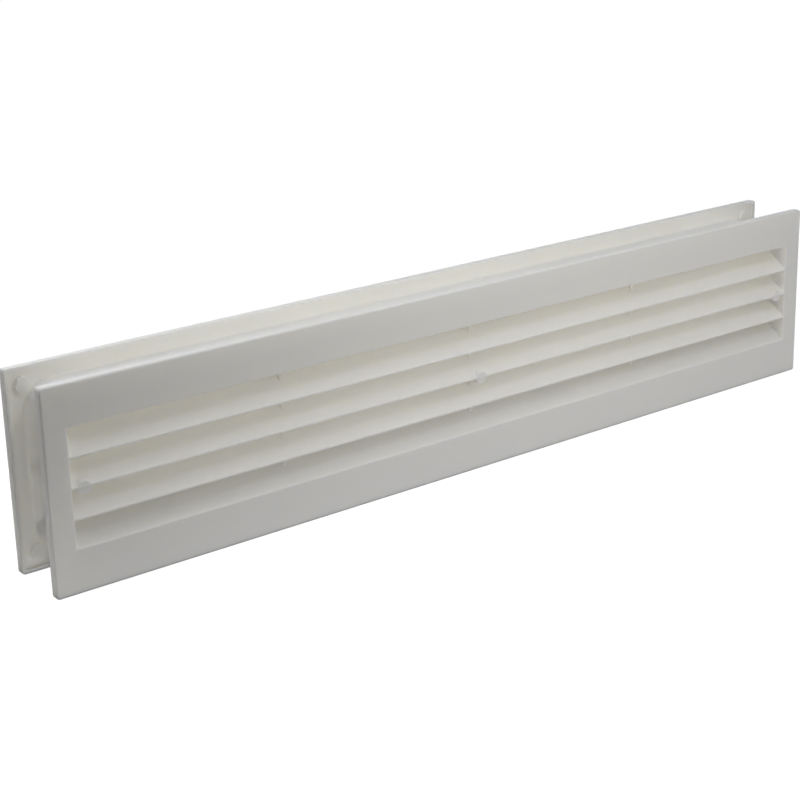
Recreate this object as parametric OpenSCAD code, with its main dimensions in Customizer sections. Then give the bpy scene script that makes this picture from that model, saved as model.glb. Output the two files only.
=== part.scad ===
// Two-part louvred door vent. A front and a rear moulding clamp a door leaf between their face
// plates, their sleeves telescope inside the cut-out, and three screws driven from the rear
// draw them together.
// X runs along the vent, Y from the front face to the rear face, Z up. The origin is the middle
// of the closed vent.

/* [Face plates] */
// Length of each face plate
face_w = 457; // [420:1:520]
// Height of each face plate
face_h = 92; // [86:1:110]
// Depth of a face plate at its rim
plate_t = 4.5; // [3.5:0.1:6]
// Depth of the recess inside the rim
recess_t = 1.5; // [0.6:0.1:2]
// Width of the rim that bears on the door
rim_w = 1.6; // [1.2:0.1:4]
// Corner radius of a face plate, seen from the front
corner_r = 1.5; // [1.2:0.1:4]
// Rounding of the outer edge of a face plate
outer_round_r = 0.8; // [0.4:0.1:1.1]
// Rounding of the rim edge that meets the door
rim_round_r = 0.4; // [0.2:0.1:0.8]
// How far a face plate reaches past the outer sleeve
flange_w = 8.6; // [7.5:0.1:12]

/* [Bearing pads] */
// Diameter of the round pad in each corner of a recess
pad_d = 6.8; // [3:0.1:7.2]
// Distance of a pad centre from the plate's nearest edges
pad_inset = 8.3; // [6:0.1:8.6]

/* [Opening and louvres] */
// Height of the opening's lower edge above the plate's lower edge
sill_h = 19.4; // [17:0.1:24]
// Height of the opening
opening_h = 53.7; // [50:0.1:56]
// Rounding of the opening's edge at its sides and top
opening_round_r = 0.6; // [0.3:0.1:0.8]
// Number of louvres
louvre_count = 4; // [2:1:4]
// Height from one louvre to the next
louvre_pitch = 13.5; // [12:0.1:14]
// Thickness of a louvre
louvre_t = 1.4; // [1:0.1:2]
// Depth of a louvre from the face to its inner edge
louvre_depth = 17; // [12:0.1:18]
// Tilt of a louvre from the horizontal, in degrees
louvre_tilt = 36; // [20:1:40]

/* [Ribs] */
// Number of upright ribs that tie the louvres together
rib_count = 3; // [1:1:5]
// Thickness of a rib
rib_t = 1.2; // [0.8:0.1:2]
// Depth from the face to a rib's front edge
rib_setback = 9; // [6:0.1:12]

/* [Sleeves] */
// Corner radius of the outer sleeve
sleeve_r = 12; // [8:0.1:16]
// Wall of both sleeves
sleeve_wall = 1; // [0.8:0.1:1.3]
// Gap between the outer and the inner sleeve
sleeve_gap = 0.2; // [0.15:0.05:0.5]
// Gap between a sleeve's end and the other moulding when the vent is closed
end_gap = 0.3; // [0.1:0.1:1]
// Fillet between the outer sleeve and its face plate
root_fillet_r = 1.2; // [0.4:0.1:1.4]

/* [Door] */
// Thinnest door that the vent clamps, which is the gap between the plates when closed
door_min = 28; // [26:0.5:32]

/* [Screws and posts] */
// Distance from each end of the outer sleeve to the outer posts and screws
post_inset = 7.9; // [7.3:0.1:30]
// Diameter of a blind post of the front moulding
front_post_d = 6.2; // [5.6:0.1:7]
// Length of a blind post from the front face
front_post_l = 23; // [19:0.5:24]
// Depth of a blind post's flat end behind the front face
post_setback = 0.2; // [0.1:0.1:1]
// Plastic left at a blind post's closed end
post_end_t = 2.2; // [1.5:0.1:4]
// Diameter of a through post of the rear moulding
rear_post_d = 9; // [8.6:0.1:9.4]
// Diameter of a screw over its thread
screw_d = 3.5; // [3:0.1:3.8]
// Length of a screw with its head
screw_l = 34; // [28:0.5:34]
// Diameter of a screw's countersunk head
screw_head_d = 6.8; // [6:0.1:7.2]
// Length of a screw's point
screw_point_l = 3; // [2:0.5:5]
// Radial gap between a screw and its holes
screw_gap = 0.08; // [0.05:0.01:0.2]
// Width of a slot of the screw's cross recess
recess_slot_w = 0.9; // [0.6:0.1:1.2]
// Length of a slot of the screw's cross recess
recess_slot_l = 3.6; // [2.5:0.1:4]

/* [Hidden] */
$fn = 96;
moulded_white = [0.93, 0.92, 0.90];
screw_steel = [0.72, 0.72, 0.70];

overlap = 0.4;
clear_air = 1;
relief_gap = 0.4;
recess_corner_r = 1;
vent_t = door_min + 2 * plate_t;
floor_t = plate_t - recess_t;
sleeve_w = face_w - 2 * flange_w;
sleeve_h = face_h - 2 * flange_w;
sill_z = sill_h - face_h / 2;
opening_top_z = sill_z + opening_h;

inner_w = sleeve_w - 2 * (sleeve_wall + sleeve_gap);
inner_h = sleeve_h - 2 * (sleeve_wall + sleeve_gap);
inner_r = sleeve_r - sleeve_wall - sleeve_gap;
outer_opening_w = sleeve_w - 2 * sleeve_wall;
inner_opening_w = inner_w - 2 * sleeve_wall;
sleeve_end = vent_t - floor_t - end_gap;

louvre_rise = (louvre_depth - louvre_t) * tan(louvre_tilt);
louvre_grip = (opening_round_r + sleeve_wall) / 2;
louvre_band = louvre_rise + (louvre_count - 1) * louvre_pitch;
relief_start = vent_t - louvre_depth - relief_gap;
relief_h = 2 * max(abs(sill_z), abs(sill_z + louvre_band)) + 2 * louvre_t;

post_x = sleeve_w / 2 - post_inset;
part_gap = 0.5;
rear_post_l = vent_t - front_post_l - part_gap;
front_bore_r = screw_d / 2 + screw_gap;
head_drop = (screw_head_d - screw_d) / 2;
post_round_r = 0.5;
recess_slot_depth = 1.7;

// A rectangle with round corners, centred on the origin
module round_rect(w, h, r) {
    square([w - 2 * r, h], center = true);
    square([w, h - 2 * r], center = true);
    for (sx = [-1, 1], sy = [-1, 1])
        translate([sx * (w / 2 - r), sy * (h / 2 - r)]) circle(r);
}

// Section of a strip that runs round a plate: its outer edge is rounded at both faces
module edge_section(w, t, r_face, r_back) {
    r_wide = max(r_face, r_back);
    square([w - r_wide, t]);
    translate([0, r_face]) square([w, t - r_face - r_back]);
    square([w - r_face, t - r_back]);
    translate([0, r_face]) square([w - r_back, t - r_face]);
    intersection() {
        square([w, t]);
        union() {
            translate([w - r_face, r_face]) circle(r_face);
            translate([w - r_back, t - r_back]) circle(r_back);
        }
    }
}

// A plate whose outer edge is rounded all the way round, lying with its face at Z 0
module rounded_plate(w, h, t, r, r_face, r_back) {
    side = [h - 2 * r, w - 2 * r, h - 2 * r, w - 2 * r];
    reach = [w / 2 - r, h / 2 - r, w / 2 - r, h / 2 - r];
    translate([0, 0, t / 2]) cube([w - 2 * r, h - 2 * r, t], center = true);
    for (i = [0:3])
        rotate(90 * i) translate([reach[i], side[i] / 2, 0])
            rotate([90, 0, 0]) linear_extrude(side[i]) edge_section(r, t, r_face, r_back);
    for (i = [0:3])
        rotate(90 * i) translate([reach[i], side[i] / 2, 0])
            rotate_extrude(angle = 90) edge_section(r, t, r_face, r_back);
}

// Section of a corner filled up to a concave arc, reaching past both of its legs by a margin
module arc_corner(r, margin) {
    difference() {
        translate([-margin, -margin]) square(r + margin);
        translate([r, r]) circle(r);
    }
}

// The slivers whose removal rounds the opening's edge at both sides and along its top
module opening_slivers(opening_w) {
    for (side = [0, 1])
        mirror([side, 0, 0]) translate([opening_w / 2, sill_z, 0])
            rotate([-90, 0, 0]) mirror([0, 1, 0])
                linear_extrude(opening_h) arc_corner(opening_round_r, clear_air);
    translate([-opening_w / 2, opening_top_z, 0]) rotate([90, 0, 90])
        linear_extrude(opening_w) arc_corner(opening_round_r, clear_air);
}

// The face plate: a shallow tray with an opening, a rim that bears on the door, and corner pads
module face_plate(opening_w) {
    difference() {
        rounded_plate(face_w, face_h, plate_t, corner_r, outer_round_r, rim_round_r);
        translate([0, 0, floor_t])
            linear_extrude(plate_t) round_rect(face_w - 2 * rim_w, face_h - 2 * rim_w, recess_corner_r);
        translate([-opening_w / 2, sill_z, -clear_air])
            cube([opening_w, opening_h, plate_t + 2 * clear_air]);
        opening_slivers(opening_w);
    }
    for (sx = [-1, 1], sy = [-1, 1])
        translate([sx * (face_w / 2 - pad_inset), sy * (face_h / 2 - pad_inset), floor_t - overlap])
            cylinder(d = pad_d, h = recess_t + overlap);
}

// Section of one louvre: a sloping blade with a round nose and a round inner edge
module louvre_section() {
    blade_l = (louvre_depth - louvre_t) / cos(louvre_tilt);
    translate([0, louvre_t / 2]) rotate(90 - louvre_tilt) {
        translate([0, -louvre_t / 2]) square([blade_l, louvre_t]);
        circle(d = louvre_t);
        translate([blade_l, 0]) circle(d = louvre_t);
    }
}

// The stack of louvres, which starts with its lowest nose on the opening's sill
module louvres(span) {
    for (k = [0:louvre_count - 1])
        translate([-span / 2, sill_z + k * louvre_pitch, 0])
            rotate([90, 0, 90]) linear_extrude(span) louvre_section();
}

// One upright rib: it crosses behind the louvres and joins the plate above and below the opening
module rib(half_h) {
    difference() {
        translate([-rib_t / 2, -half_h, floor_t - overlap])
            cube([rib_t, 2 * half_h, louvre_depth - louvre_t / 2 - floor_t + overlap]);
        translate([-rib_t, sill_z, 0])
            cube([2 * rib_t, opening_h, rib_setback]);
    }
}

// The ribs, spaced evenly along the opening
module ribs(opening_w, half_h) {
    for (i = [1:rib_count])
        translate([opening_w * (i / (rib_count + 1) - 0.5), 0, 0]) rib(half_h);
}

// Repeats a shape at the three screw positions
module at_posts() {
    for (i = [-1:1]) translate([i * post_x, 0, 0]) children();
}

// A straight sleeve with round corners, from the plate to its free end
module sleeve(w, h, r) {
    translate([0, 0, floor_t - overlap]) linear_extrude(sleeve_end - floor_t + overlap)
        difference() {
            round_rect(w, h, r);
            round_rect(w - 2 * sleeve_wall, h - 2 * sleeve_wall, r - sleeve_wall);
        }
}

// The fillet where a sleeve rises from the floor of its face plate
module root_fillet(w, h, r) {
    side = [h - 2 * r, w - 2 * r, h - 2 * r, w - 2 * r];
    reach = [w / 2 - r, h / 2 - r, w / 2 - r, h / 2 - r];
    for (i = [0:3])
        rotate(90 * i) translate([reach[i] + r, side[i] / 2, floor_t])
            rotate([90, 0, 0]) linear_extrude(side[i]) arc_corner(root_fillet_r, overlap);
    for (i = [0:3])
        rotate(90 * i) translate([reach[i], side[i] / 2, floor_t])
            rotate_extrude(angle = 90) translate([r, 0]) arc_corner(root_fillet_r, overlap);
}

// A blind post with a softly rounded flat end
module front_post() {
    rotate_extrude() {
        translate([0, post_setback]) square([front_post_d / 2 - post_round_r, post_round_r]);
        translate([0, post_setback + post_round_r])
            square([front_post_d / 2, front_post_l - post_setback - post_round_r]);
        translate([0, post_setback + post_round_r]) intersection() {
            translate([front_post_d / 2 - post_round_r, 0]) circle(post_round_r);
            translate([0, -post_round_r]) square([front_post_d, 2 * post_round_r]);
        }
    }
}

// The front moulding lying on its face: plate, louvres, ribs, inner sleeve and blind posts
module front_moulding() {
    difference() {
        union() {
            face_plate(inner_opening_w);
            louvres(inner_opening_w + 2 * louvre_grip);
            ribs(inner_opening_w, inner_h / 2 - sleeve_wall + overlap);
            difference() {
                sleeve(inner_w, inner_h, inner_r);
                translate([0, 0, relief_start + vent_t / 2])
                    cube([face_w, relief_h, vent_t], center = true);
            }
            at_posts() front_post();
        }
        at_posts() translate([0, 0, post_end_t])
            cylinder(r = front_bore_r, h = front_post_l);
    }
}

// The rear moulding lying on its face: plate, louvres, ribs, outer sleeve and through posts
module rear_moulding() {
    difference() {
        union() {
            face_plate(outer_opening_w);
            difference() {
                union() {
                    louvres(outer_opening_w + 2 * louvre_grip);
                    ribs(outer_opening_w, inner_h / 2 - sleeve_wall - part_gap);
                }
                at_posts() translate([0, 0, rear_post_l])
                    cylinder(d = front_post_d + 2 * part_gap, h = vent_t);
            }
            sleeve(sleeve_w, sleeve_h, sleeve_r);
            root_fillet(sleeve_w, sleeve_h, sleeve_r);
            at_posts() cylinder(d = rear_post_d, h = rear_post_l);
        }
        at_posts() translate([0, 0, -clear_air])
            cylinder(r = front_bore_r, h = vent_t);
        at_posts() translate([0, 0, -clear_air])
            cylinder(r1 = screw_head_d / 2 + screw_gap + clear_air,
                     r2 = front_bore_r, h = head_drop + clear_air + screw_gap);
    }
}

// A countersunk screw standing on its head, with a cross recess and a pointed tip
module screw() {
    color(screw_steel) difference() {
        union() {
            cylinder(r1 = screw_head_d / 2, r2 = screw_d / 2, h = head_drop);
            cylinder(d = screw_d, h = screw_l - screw_point_l);
            translate([0, 0, screw_l - screw_point_l])
                cylinder(r1 = screw_d / 2, r2 = screw_gap, h = screw_point_l);
        }
        for (turn = [0, 90])
            rotate(turn) cube([recess_slot_l, recess_slot_w, 2 * recess_slot_depth], center = true);
    }
}

// Stands a moulding up with its face at the rear
module at_rear() {
    translate([0, vent_t / 2, 0]) rotate([90, 0, 0]) children();
}

// Stands a moulding up with its face at the front
module at_front() {
    translate([0, -vent_t / 2, 0]) mirror([0, 1, 0]) rotate([90, 0, 0]) children();
}

module rear_grille() { color(moulded_white) at_rear() rear_moulding(); }
module front_grille() { color(moulded_white) at_front() front_moulding(); }
module screw_left() { at_rear() translate([-post_x, 0, 0]) screw(); }
module screw_centre() { at_rear() screw(); }
module screw_right() { at_rear() translate([post_x, 0, 0]) screw(); }

rear_grille();
front_grille();
screw_left();
screw_centre();
screw_right();
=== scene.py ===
"""Looks of a two-part louvred door vent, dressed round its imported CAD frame.

The two mouldings carry over from the frame and get a satin moulded-plastic finish. Each screw is
rebuilt here with a cut thread and a cross recess. All lengths are in metres in the frame's axes:
X along the vent, Y from the front face to the rear face, Z up.
"""
from __future__ import annotations

import logging
import math
from dataclasses import dataclass
from enum import Enum

import bmesh
import bpy
from mathutils import Matrix, Vector

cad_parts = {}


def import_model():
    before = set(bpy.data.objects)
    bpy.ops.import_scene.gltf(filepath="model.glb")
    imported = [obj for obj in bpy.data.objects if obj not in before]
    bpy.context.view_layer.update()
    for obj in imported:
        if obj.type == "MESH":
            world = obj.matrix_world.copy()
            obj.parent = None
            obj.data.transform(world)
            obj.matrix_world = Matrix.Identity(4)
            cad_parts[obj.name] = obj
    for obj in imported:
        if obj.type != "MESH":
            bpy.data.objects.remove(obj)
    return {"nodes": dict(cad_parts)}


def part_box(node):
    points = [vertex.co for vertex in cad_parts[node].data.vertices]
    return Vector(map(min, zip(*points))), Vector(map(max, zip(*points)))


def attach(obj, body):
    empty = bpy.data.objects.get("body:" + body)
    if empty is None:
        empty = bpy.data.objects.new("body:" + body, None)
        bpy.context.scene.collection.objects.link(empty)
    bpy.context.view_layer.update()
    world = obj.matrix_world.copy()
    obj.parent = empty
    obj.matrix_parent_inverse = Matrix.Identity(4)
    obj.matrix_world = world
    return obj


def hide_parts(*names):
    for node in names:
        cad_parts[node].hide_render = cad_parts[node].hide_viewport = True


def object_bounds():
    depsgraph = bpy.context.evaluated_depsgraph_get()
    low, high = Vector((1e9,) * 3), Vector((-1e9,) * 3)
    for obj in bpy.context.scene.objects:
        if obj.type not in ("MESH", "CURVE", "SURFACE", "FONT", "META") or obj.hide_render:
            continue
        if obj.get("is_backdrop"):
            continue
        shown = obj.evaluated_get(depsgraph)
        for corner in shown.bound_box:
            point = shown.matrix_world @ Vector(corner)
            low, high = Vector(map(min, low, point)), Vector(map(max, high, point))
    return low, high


MM = 0.001
PHOTO_WIDTH = 800
SCREW_NODES = ("screw_left", "screw_centre", "screw_right")
LOG = logging.getLogger("door_vent")

Colour = tuple[float, float, float]
Point = tuple[float, float, float]
Span = tuple[float, float]

BLACK: Colour = (0.0, 0.0, 0.0)
WARM: Colour = (1.0, 0.985, 0.965)
COOL: Colour = (0.91, 0.957, 1.0)
NEUTRAL: Colour = (1.0, 0.99, 0.985)
TABLE_TINT: Colour = (1.0, 0.99, 0.98)


class Half(Enum):
    """The two mouldings, by the name of their CAD node."""

    FRONT = "front_grille"
    REAR = "rear_grille"


def blank_material(name: str) -> bpy.types.Material:
    """Makes a material that uses nodes.

    Args:
        name: Name of the material.

    Returns:
        The material, still with Blender's own nodes.
    """
    material = bpy.data.materials.new(name)
    material.use_nodes = True
    return material


def mesh_from(form: bmesh.types.BMesh, name: str) -> bpy.types.Mesh:
    """Turns an editable form into a mesh and frees the form.

    Args:
        form: The form, which can't be used afterwards.
        name: Name of the mesh.

    Returns:
        The new mesh.
    """
    mesh = bpy.data.meshes.new(name)
    form.to_mesh(mesh)
    form.free()
    return mesh


def put_in_scene(name: str, data: bpy.types.ID) -> bpy.types.Object:
    """Makes an object and puts it in the scene.

    Args:
        name: Name of the object.
        data: Its mesh, lamp or camera.

    Returns:
        The new object.
    """
    made = bpy.data.objects.new(name, data)
    bpy.context.scene.collection.objects.link(made)
    return made


class NodeSheet:
    """A node tree that is written from scratch: adds shader nodes and links them."""

    def __init__(self, tree: bpy.types.NodeTree) -> None:
        """Takes the node tree of a material or a world and clears it."""
        self.tree = tree
        self.tree.nodes.clear()

    def add(self, kind: str, **settings: object) -> bpy.types.Node:
        """Adds a shader node.

        Args:
            kind: Blender's type name of the node.
            **settings: Attributes of the node, or values of its input sockets where a name has
                underscores for spaces and starts with a capital letter.

        Returns:
            The new node.
        """
        node = self.tree.nodes.new(kind)
        for key, value in settings.items():
            if key[0].isupper():
                node.inputs[key.replace("_", " ")].default_value = value
            else:
                setattr(node, key, value)
        return node

    def link(self, out: bpy.types.NodeSocket, into: bpy.types.NodeSocket) -> None:
        """Links one socket to another."""
        self.tree.links.new(out, into)

    def noise(self, place: bpy.types.NodeSocket, scale: float, detail: float) -> bpy.types.NodeSocket:
        """Adds a noise texture.

        Args:
            place: Socket that gives the point.
            scale: Features per metre.
            detail: Number of octaves.

        Returns:
            The noise's value socket.
        """
        node = self.add("ShaderNodeTexNoise", Scale=scale, Detail=detail)
        self.link(place, node.inputs["Vector"])
        return node.outputs["Fac"]

    def spread(self, value: bpy.types.NodeSocket, low: float, high: float) -> bpy.types.NodeSocket:
        """Maps a 0 to 1 value onto a range.

        Args:
            value: Socket to map.
            low: Result at 0.
            high: Result at 1.

        Returns:
            The mapped value's socket.
        """
        node = self.add("ShaderNodeMapRange", To_Min=low, To_Max=high)
        self.link(value, node.inputs["Value"])
        return node.outputs["Result"]

    def blend(self, value: bpy.types.NodeSocket, low: Colour, high: Colour) -> bpy.types.NodeSocket:
        """Mixes two colours by a 0 to 1 value.

        Args:
            value: Socket that gives the share of the second colour.
            low: Colour at 0.
            high: Colour at 1.

        Returns:
            The mixed colour's socket.
        """
        node = self.add("ShaderNodeMix", data_type="RGBA")
        self.link(value, node.inputs["Factor"])
        node.inputs["A"].default_value = (*low, 1)
        node.inputs["B"].default_value = (*high, 1)
        return node.outputs["Result"]

    def bump(self, height: bpy.types.NodeSocket, strength: float, depth: float) -> bpy.types.Node:
        """Adds a bump from a height.

        Args:
            height: Socket that gives the height.
            strength: Share of the bump that shows.
            depth: Depth of the relief.

        Returns:
            The bump node.
        """
        node = self.add("ShaderNodeBump", Strength=strength, Distance=depth)
        self.link(height, node.inputs["Height"])
        return node


@dataclass(frozen=True)
class MouldedPlastic:
    """Satin white injection-moulded plastic: faint colour drift, fine mould grain, soft bleed."""

    shade: Colour = (0.962, 0.948, 0.905)
    shade_drift: Colour = (0.953, 0.938, 0.893)
    drift_scale: float = 9.0
    drift_detail: float = 3.0
    roughness: Span = (0.58, 0.70)
    ior: float = 1.46
    grain_scale: float = 2600.0
    grain_detail: float = 2.0
    grain_strength: float = 0.35
    grain_depth: float = 0.012 * MM
    wave_scale: float = 38.0
    wave_detail: float = 1.0
    wave_strength: float = 0.08
    wave_depth: float = 0.12 * MM
    bleed: float = 1.0
    bleed_reach: float = 2.2 * MM
    bleed_tint: Colour = (1.0, 0.96, 0.88)

    def build(self, name: str) -> bpy.types.Material:
        """Makes the material.

        Args:
            name: Name of the material.

        Returns:
            The finished material.
        """
        material = blank_material(name)
        sheet = NodeSheet(material.node_tree)
        out = sheet.add("ShaderNodeOutputMaterial")
        skin = sheet.add("ShaderNodeBsdfPrincipled", IOR=self.ior, Subsurface_Weight=self.bleed,
                         Subsurface_Scale=self.bleed_reach,
                         Subsurface_Radius=self.bleed_tint)
        sheet.link(skin.outputs["BSDF"], out.inputs["Surface"])
        place = sheet.add("ShaderNodeTexCoord").outputs["Object"]
        drift = sheet.noise(place, self.drift_scale, self.drift_detail)
        sheet.link(sheet.blend(drift, self.shade_drift, self.shade), skin.inputs["Base Color"])
        grain = sheet.noise(place, self.grain_scale, self.grain_detail)
        sheet.link(sheet.spread(grain, *self.roughness), skin.inputs["Roughness"])
        wave = sheet.noise(place, self.wave_scale, self.wave_detail)
        coarse = sheet.bump(wave, self.wave_strength, self.wave_depth)
        fine = sheet.bump(grain, self.grain_strength, self.grain_depth)
        sheet.link(coarse.outputs["Normal"], fine.inputs["Normal"])
        sheet.link(fine.outputs["Normal"], skin.inputs["Normal"])
        return material


@dataclass(frozen=True)
class PlatedSteel:
    """Zinc-plated steel with fine turning marks."""

    shade: Colour = (0.44, 0.44, 0.43)
    shade_dull: Colour = (0.33, 0.33, 0.315)
    roughness: Span = (0.24, 0.42)
    mark_scale: float = 1800.0
    mark_detail: float = 4.0
    mark_strength: float = 0.3
    mark_depth: float = 0.01 * MM

    def build(self, name: str) -> bpy.types.Material:
        """Makes the material.

        Args:
            name: Name of the material.

        Returns:
            The finished material.
        """
        material = blank_material(name)
        sheet = NodeSheet(material.node_tree)
        out = sheet.add("ShaderNodeOutputMaterial")
        skin = sheet.add("ShaderNodeBsdfPrincipled", Metallic=1.0)
        sheet.link(skin.outputs["BSDF"], out.inputs["Surface"])
        place = sheet.add("ShaderNodeTexCoord").outputs["Object"]
        mark = sheet.noise(place, self.mark_scale, self.mark_detail)
        sheet.link(sheet.blend(mark, self.shade_dull, self.shade), skin.inputs["Base Color"])
        sheet.link(sheet.spread(mark, *self.roughness), skin.inputs["Roughness"])
        turned = sheet.bump(mark, self.mark_strength, self.mark_depth)
        sheet.link(turned.outputs["Normal"], skin.inputs["Normal"])
        return material


@dataclass
class Moulding:
    """One half of the vent: its CAD solid, carried over and dressed."""

    half: Half

    def dress(self, solid: bpy.types.Object, finish: bpy.types.Material) -> bpy.types.Object:
        """Gives the CAD solid its finish and leaves its mesh as it is.

        Args:
            solid: The CAD object of this half.
            finish: The moulded-plastic material.

        Returns:
            The CAD object.
        """
        for slot in solid.material_slots:
            slot.material = finish
        LOG.info("dressed %s", self.half.value)
        return solid


@dataclass
class Screw:
    """A countersunk self-tapping screw with a cut thread and a cross recess.

    Its axis is parallel to Y, its head lies in the rear face, and it points to the front. Shares of
    the thread are shares of its pitch.
    """

    node: str
    body: str
    head_radius: float = 3.4 * MM
    thread_radius: float = 1.75 * MM
    core_radius: float = 1.25 * MM
    length: float = 34 * MM
    head_length: float = 1.65 * MM
    head_rings: tuple[float, ...] = (0.0, 0.06, 0.5, 1.0)
    plain_length: float = 4 * MM
    point_length: float = 4 * MM
    point_power: float = 0.8
    pitch: float = 1.4 * MM
    crest_share: float = 0.12
    flank_share: float = 0.22
    sides: int = 40
    rings_per_turn: int = 12
    recess_half_length: float = 1.75 * MM
    recess_half_width: float = 0.42 * MM
    recess_depth: float = 1.7 * MM
    recess_taper: float = 0.45
    recess_overcut: float = 0.5 * MM
    crease_deg: float = 40.0

    def shank_radius(self, turn: float, depth: float) -> float:
        """Radius of the threaded shank.

        Args:
            turn: Angle round the axis, in turns.
            depth: Distance from the head's face.

        Returns:
            The radius at that point.
        """
        from_crest = abs((depth / self.pitch - turn) % 1.0 - 0.5)
        flank = max(0.0, 1.0 - max(0.0, from_crest - self.crest_share / 2) / self.flank_share)
        rise_in = min(1.0, max(0.0, (depth - self.plain_length) / self.pitch))
        point = min(1.0, max(0.0, (self.length - depth) / self.point_length))
        core = self.core_radius * point ** self.point_power
        return core + (self.thread_radius - self.core_radius) * flank * rise_in * point

    def radius(self, turn: float, depth: float) -> float:
        """Radius of the screw, head included.

        Args:
            turn: Angle round the axis, in turns.
            depth: Distance from the head's face.

        Returns:
            The radius at that point.
        """
        if depth <= self.head_length:
            share = depth / self.head_length
            return self.head_radius + (self.core_radius - self.head_radius) * share
        return self.shank_radius(turn, depth)

    def depths(self) -> list[float]:
        """Works out where along its axis the mesh has a ring of points.

        Returns:
            Distances from the head's face.
        """
        step = self.pitch / self.rings_per_turn
        count = int((self.length - self.head_length) / step)
        head = [self.head_length * share for share in self.head_rings]
        return head + [self.head_length + step * (k + 1) for k in range(count)]

    def shank_mesh(self) -> bpy.types.Mesh:
        """Builds the closed body of the screw along +Z from its head at Z 0.

        Returns:
            The mesh of head and shank, without the recess.
        """
        form = bmesh.new()
        rows = []
        for depth in self.depths():
            ring = []
            for side in range(self.sides):
                turn = side / self.sides
                radius = self.radius(turn, depth)
                angle = 2 * math.pi * turn
                ring.append(form.verts.new((radius * math.cos(angle), radius * math.sin(angle), depth)))
            rows.append(ring)
        for low, high in zip(rows, rows[1:]):
            for side in range(self.sides):
                after = (side + 1) % self.sides
                form.faces.new((low[side], low[after], high[after], high[side]))
        form.faces.new(list(reversed(rows[0])))
        tip = form.verts.new((0, 0, self.length))
        for side in range(self.sides):
            form.faces.new((rows[-1][side], rows[-1][(side + 1) % self.sides], tip))
        return mesh_from(form, self.node + "_form")

    def recess_mesh(self) -> bpy.types.Mesh:
        """Builds the tapered cross that is cut from the head.

        Returns:
            The closed mesh of the cutter.
        """
        form = bmesh.new()
        reach, width = self.recess_half_length, self.recess_half_width
        outline = [(reach, width), (width, width), (width, reach)]
        points = []
        for quarter in range(4):
            spin = Matrix.Rotation(math.pi / 2 * quarter, 2)
            points += [spin @ Vector(p) for p in outline]
        top = [form.verts.new((p.x, p.y, -self.recess_overcut)) for p in points]
        share = self.recess_taper
        low = [form.verts.new((p.x * share, p.y * share, self.recess_depth)) for p in points]
        count = len(points)
        for side in range(count):
            after = (side + 1) % count
            form.faces.new((top[side], top[after], low[after], low[side]))
        form.faces.new(list(reversed(top)))
        form.faces.new(low)
        bmesh.ops.recalc_face_normals(form, faces=form.faces)
        return mesh_from(form, self.node + "_recess")

    def cut_recess(self, piece: bpy.types.Object) -> bpy.types.Mesh:
        """Cuts the cross from the screw's head.

        Args:
            piece: The object that holds the uncut screw, and gets the cut mesh.

        Returns:
            The cut mesh.
        """
        cutter = put_in_scene(self.node + "_cutter", self.recess_mesh())
        cut = piece.modifiers.new("recess", "BOOLEAN")
        cut.object = cutter
        cut.solver = "EXACT"
        bpy.context.view_layer.update()
        graph = bpy.context.evaluated_depsgraph_get()
        result = bpy.data.meshes.new_from_object(piece.evaluated_get(graph))
        piece.modifiers.clear()
        piece.data = result
        bpy.data.objects.remove(cutter)
        return result

    def build(self, finish: bpy.types.Material) -> bpy.types.Object:
        """Makes the screw where its CAD solid lies and puts it on its body.

        Args:
            finish: The plated-steel material.

        Returns:
            The new piece.
        """
        piece = put_in_scene(self.node + "_threaded", self.shank_mesh())
        result = self.cut_recess(piece)
        low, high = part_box(self.node)
        stand = Matrix.Rotation(math.pi / 2, 4, "X")
        place = Matrix.Translation(((low.x + high.x) / 2, high.y, (low.z + high.z) / 2))
        result.transform(place @ stand)
        result.materials.clear()
        result.materials.append(finish)
        for face in result.polygons:
            face.use_smooth = True
        result.set_sharp_from_angle(angle=math.radians(self.crease_deg))
        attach(piece, self.body)
        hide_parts(self.node)
        LOG.info("made %s", piece.name)
        return piece


def area_lamp(name: str, size: Span, power: float, tint: Colour) -> bpy.types.Object:
    """Makes a lamp with a rectangular face that the camera doesn't see.

    Args:
        name: Name of the lamp.
        size: Width and height of its face.
        power: Its power in watts.
        tint: Colour of its light.

    Returns:
        The lamp, which still has to be placed.
    """
    lamp = bpy.data.lights.new(name, "AREA")
    lamp.shape = "RECTANGLE"
    lamp.size, lamp.size_y = size
    lamp.energy = power
    lamp.color = tint
    made = put_in_scene(name, lamp)
    made.visible_camera = False
    return made


@dataclass(frozen=True)
class SoftBox:
    """One studio lamp: a square of light that faces the vent."""

    name: str
    place: Point
    aim: Point
    size: float
    power: float
    tint: Colour

    def build(self) -> bpy.types.Object:
        """Makes the lamp at its place and turns it to its aim.

        Returns:
            The lamp.
        """
        made = area_lamp(self.name, (self.size, self.size), self.power, self.tint)
        ahead = Vector(self.aim) - Vector(self.place)
        made.location = self.place
        made.rotation_euler = ahead.to_track_quat("-Z", "Y").to_euler()
        return made


@dataclass(frozen=True)
class TablePatch:
    """A lit stretch of the white table, which shines upward."""

    name: str
    x: Span
    y: Span
    power: float
    lift: float = 0.2 * MM

    def build(self, height: float) -> bpy.types.Object:
        """Makes the patch just above the table.

        Args:
            height: The table's height.

        Returns:
            The lamp that stands for the patch.
        """
        size = (self.x[1] - self.x[0], self.y[1] - self.y[0])
        made = area_lamp(self.name, size, self.power, TABLE_TINT)
        made.location = (sum(self.x) / 2, sum(self.y) / 2, height + self.lift)
        made.rotation_euler = (math.pi, 0, 0)
        return made


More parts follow.
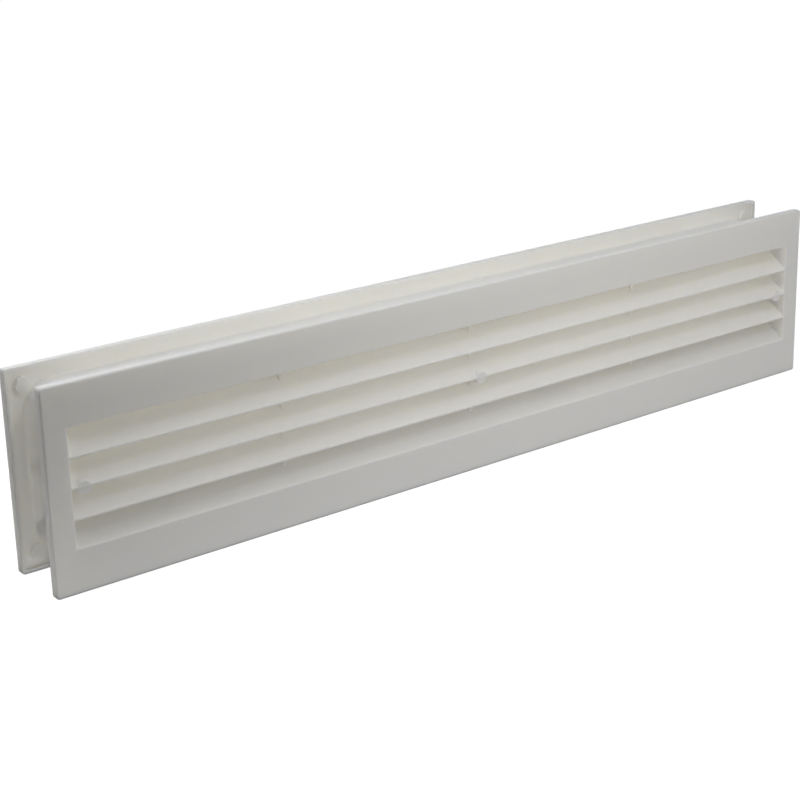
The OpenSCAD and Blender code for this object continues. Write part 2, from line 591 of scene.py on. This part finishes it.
@dataclass(frozen=True)
class Studio:
    """A white table and backdrop, soft boxes and the table's own glow.

    The table looks white to the camera. For the light it is black, because its patches of glow
    stand for the light that it would send back. The strengths of the lamps and patches come from a
    fit of single-lamp renders to the tones of the photograph.
    """

    floor_reach: float = 8.0
    floor_shade: Colour = (0.85, 0.85, 0.85)
    shadow_share: float = 0.3
    floor_glow: Span = (0.94, 1.0)
    glow_rise: Span = (0.3, 0.9)
    backdrop: float = 1.0
    boxes: tuple[SoftBox, ...] = (
        SoftBox("key_low", (0.0, -0.3, 0.15), (0.1, 0, 0), 0.2, 0.22, WARM),
        SoftBox("key_high", (0.2, -0.45, 0.6), (0.12, 0, 0), 0.2, 0.64, WARM),
        SoftBox("key_left", (-0.1, -0.2, 0.4), (-0.06, 0, 0), 0.2, 0.2, WARM),
        SoftBox("key_floor", (-0.1, -0.35, 0.08), (0.1, 0, 0), 0.2, 0.026, WARM),
        SoftBox("key_right", (0.35, -0.3, 0.25), (0.21, 0, 0), 0.2, 0.075, WARM),
        SoftBox("fill_right", (0.8, -0.3, 0.1), (0.48, 0, 0), 0.2, 0.49, WARM),
        SoftBox("fill_left", (-0.7, -0.5, 0.0), (0, 0, 0), 0.3, 0.084, WARM),
        SoftBox("fill_low", (-0.485, -0.84, 0.242), (0, 0, 0), 0.5, 0.078, WARM),
        SoftBox("side_left", (-0.97, 0.0, 0.242), (0, 0, 0), 0.5, 0.19, WARM),
        SoftBox("above", (-0.15, 0.0, 0.45), (-0.09, 0, 0), 0.2, 0.048, COOL),
        SoftBox("above_left", (-0.4, 0.0, 0.45), (-0.24, 0, 0), 0.2, 0.43, NEUTRAL),
        SoftBox("top", (0.0, -0.174, 0.985), (0, 0, 0), 0.5, 1.17, COOL),
        SoftBox("back", (0.0, 0.97, 0.242), (0, 0, 0), 0.5, 5.55, COOL),
        SoftBox("back_left", (-0.485, 0.84, 0.242), (0, 0, 0), 0.5, 1.47, NEUTRAL),
    )
    patches: tuple[TablePatch, ...] = (
        TablePatch("front_near", (-0.3, 0.35), (-0.12, -0.0188), 0.091),
        TablePatch("front_right", (0.0, 0.4), (-0.32, -0.12), 0.138),
        TablePatch("behind_near", (-0.3, 0.3), (0.022, 0.12), 0.06),
        TablePatch("behind_mid", (-0.4, 0.4), (0.12, 0.4), 0.52),
        TablePatch("behind_far", (-0.7, 0.7), (0.4, 1.0), 0.29),
        TablePatch("left_near", (-0.335, -0.235), (-0.06, 0.06), 0.006),
        TablePatch("left_between", (-0.275, -0.215), (-0.0135, 0.0135), 0.0034),
    )

    @staticmethod
    def seen_directly(sheet: NodeSheet) -> bpy.types.NodeSocket:
        """Adds the nodes that tell camera, mirror and glass rays from the rays that carry light.

        Args:
            sheet: The node tree to add them to.

        Returns:
            A socket that is 1 for camera, glossy and transmission rays, otherwise 0.
        """
        path = sheet.add("ShaderNodeLightPath")
        shiny = sheet.add("ShaderNodeMath", operation="MAXIMUM")
        either = sheet.add("ShaderNodeMath", operation="MAXIMUM")
        sheet.link(path.outputs["Is Glossy Ray"], shiny.inputs[0])
        sheet.link(path.outputs["Is Transmission Ray"], shiny.inputs[1])
        sheet.link(path.outputs["Is Camera Ray"], either.inputs[0])
        sheet.link(shiny.outputs[0], either.inputs[1])
        return either.outputs[0]

    def world(self) -> None:
        """Sets a world that is plain white where it is seen directly and gives no light."""
        world = bpy.data.worlds.new("studio")
        bpy.context.scene.world = world
        world.use_nodes = True
        sheet = NodeSheet(world.node_tree)
        out = sheet.add("ShaderNodeOutputWorld")
        white = sheet.add("ShaderNodeBackground", Strength=self.backdrop, Color=(1, 1, 1, 1))
        mix = sheet.add("ShaderNodeMixShader")
        sheet.link(self.seen_directly(sheet), mix.inputs[0])
        sheet.link(white.outputs[0], mix.inputs[2])
        sheet.link(mix.outputs[0], out.inputs["Surface"])

    def glow(self, sheet: NodeSheet, seen: bpy.types.NodeSocket) -> bpy.types.NodeSocket:
        """Adds the glow that makes the floor look white, a little more so further out.

        Args:
            sheet: The floor's node tree.
            seen: Socket that is 1 for rays that see the floor directly.

        Returns:
            The glow's shader socket.
        """
        far = sheet.add("ShaderNodeVectorMath", operation="LENGTH")
        sheet.link(sheet.add("ShaderNodeTexCoord").outputs["Object"], far.inputs[0])
        rise = sheet.add("ShaderNodeMapRange", interpolation_type="SMOOTHSTEP",
                         From_Min=self.glow_rise[0], From_Max=self.glow_rise[1],
                         To_Min=self.floor_glow[0], To_Max=self.floor_glow[1])
        sheet.link(far.outputs["Value"], rise.inputs["Value"])
        strength = sheet.add("ShaderNodeMath", operation="MULTIPLY")
        sheet.link(seen, strength.inputs[0])
        sheet.link(rise.outputs["Result"], strength.inputs[1])
        glow = sheet.add("ShaderNodeEmission")
        sheet.link(strength.outputs[0], glow.inputs["Strength"])
        return glow.outputs[0]

    def floor_finish(self) -> bpy.types.Material:
        """Makes the floor's finish: black for the light, and for the camera white with a shadow.

        Returns:
            The finished material.
        """
        material = blank_material("white_floor")
        sheet = NodeSheet(material.node_tree)
        out = sheet.add("ShaderNodeOutputMaterial")
        both = sheet.add("ShaderNodeAddShader")
        matt = sheet.add("ShaderNodeBsdfDiffuse")
        seen = self.seen_directly(sheet)
        shade = tuple(part * self.shadow_share for part in self.floor_shade)
        sheet.link(sheet.blend(seen, BLACK, shade), matt.inputs["Color"])
        sheet.link(matt.outputs[0], both.inputs[0])
        sheet.link(self.glow(sheet, seen), both.inputs[1])
        sheet.link(both.outputs[0], out.inputs["Surface"])
        return material

    def floor(self, height: float) -> bpy.types.Object:
        """Lays the floor.

        Args:
            height: The floor's height, where the vent stands.

        Returns:
            The floor object, marked as backdrop.
        """
        form = bmesh.new()
        reach = self.floor_reach
        corners = [(-reach, -reach), (reach, -reach), (reach, reach), (-reach, reach)]
        form.faces.new([form.verts.new((x, y, height)) for x, y in corners])
        mesh = mesh_from(form, "floor")
        mesh.materials.append(self.floor_finish())
        floor = put_in_scene("floor", mesh)
        floor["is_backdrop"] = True
        return floor

    def build(self, height: float) -> None:
        """Builds the whole studio round a vent.

        Args:
            height: The height on which the vent stands.
        """
        self.world()
        self.floor(height)
        for box in self.boxes:
            box.build()
        for patch in self.patches:
            patch.build(height)
        LOG.info("studio with %d soft boxes, %d patches", len(self.boxes), len(self.patches))


@dataclass(frozen=True)
class PhotoCamera:
    """The camera of the photograph, from a fit to the straight edges of both face plates.

    Angles are in degrees: heading from +Y towards +X, dip below the horizon, and roll.
    """

    place: Point = (-503.91 * MM, -621.92 * MM, 262.52 * MM)
    heading: float = 37.031
    dip: float = 17.166
    roll: float = -1.523
    focal_px: float = 1726.4
    rise_px: float = 60.0
    sensor_mm: float = 36.0
    clip: Span = (0.01, 30.0)

    def build(self) -> bpy.types.Object:
        """Makes the camera and sets it on the scene.

        Returns:
            The camera.
        """
        heading, dip, roll = (math.radians(a) for a in (self.heading, self.dip, self.roll))
        level = math.cos(dip)
        ahead = Vector((math.sin(heading) * level, math.cos(heading) * level, -math.sin(dip)))
        right = ahead.cross(Vector((0, 0, 1))).normalized()
        up = right.cross(ahead)
        turned_right = right * math.cos(roll) + up * math.sin(roll)
        turned_up = up * math.cos(roll) - right * math.sin(roll)
        lens = bpy.data.cameras.new("photo_camera")
        lens.sensor_fit = "HORIZONTAL"
        lens.sensor_width = self.sensor_mm
        lens.lens = self.focal_px / PHOTO_WIDTH * self.sensor_mm
        lens.shift_y = -self.rise_px / PHOTO_WIDTH
        lens.clip_start, lens.clip_end = self.clip
        camera = put_in_scene("photo_camera", lens)
        axes = Matrix((turned_right, turned_up, -ahead)).transposed().to_4x4()
        camera.matrix_world = Matrix.Translation(self.place) @ axes
        bpy.context.scene.camera = camera
        return camera


def main() -> None:
    """Loads the frame and builds the camera, studio, mouldings and screws in order."""
    logging.basicConfig(level=logging.INFO, format="%(name)s: %(message)s")
    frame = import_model()
    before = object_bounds()
    scene = bpy.context.scene
    scene.view_settings.view_transform = "Standard"
    scene.cycles.diffuse_bounces = scene.cycles.max_bounces
    PhotoCamera().build()
    Studio().build(before[0].z)
    plastic = MouldedPlastic().build("satin_white_plastic")
    steel = PlatedSteel().build("zinc_plated_steel")
    for half in Half:
        Moulding(half).dress(frame["nodes"][half.value], plastic)
    for node in SCREW_NODES:
        Screw(node, node).build(steel)


if __name__ == "__main__":
    main()
